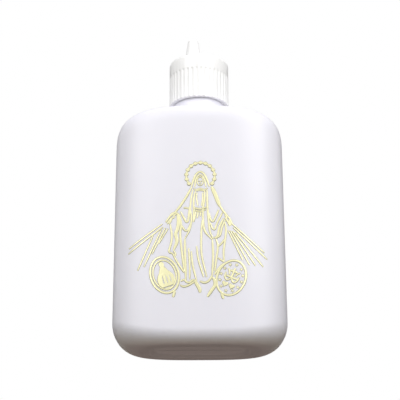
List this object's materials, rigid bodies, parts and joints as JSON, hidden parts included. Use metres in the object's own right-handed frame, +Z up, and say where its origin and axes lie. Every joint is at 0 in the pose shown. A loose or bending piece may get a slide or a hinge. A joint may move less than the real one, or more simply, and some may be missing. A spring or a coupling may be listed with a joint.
{
  "type": "holy water bottle",
  "caption": "Flat-oval white plastic squeeze bottle with rounded shoulders, a grooved screw cap with a spout that flips up, and a gold devotional print on the front.",
  "frame": {"origin": "middle of the base, on the plane that the bottle stands on", "axes": "+Z up along the neck, +X to the right seen from the printed face, -Y out of the printed face"},
  "size_m": [0.0596, 0.0344, 0.1163],
  "materials": {
    "bottle_white": "satin blown polyethylene",
    "cap_white": "moulded polypropylene",
    "liner_foam": "foamed polyethylene",
    "spout_white": "moulded polyethylene",
    "gold_foil": "hot-stamped foil"
  },
  "bodies": {
    "bottle": {"bottle": "bottle_white"},
    "liner": {"liner": "liner_foam"},
    "cap": {"cap": "cap_white"},
    "spout": {"spout": "spout_white"}
  },
  "joints": [
    {"name": "cap_lift", "type": "slide", "parent": "bottle", "child": "liner", "axis": [0, 0, 1], "range_m": [0, 0.0159]},
    {"name": "cap_turn", "type": "hinge", "parent": "liner", "child": "cap", "pos_m": [0, 0, 0.091], "axis": [0, 0, 1], "range_deg": [0, 1800]},
    {"name": "spout_flip", "type": "hinge", "parent": "cap", "child": "spout", "pos_m": [-0.0021, -0.00364, 0.10495], "axis": [-0.866, 0.5, 0], "range_deg": [0, 90]}
  ],
  "couplings": [
    {"joint": "cap_lift", "follows": "cap_turn", "m_per_rad": 0.00050532}
  ]
}
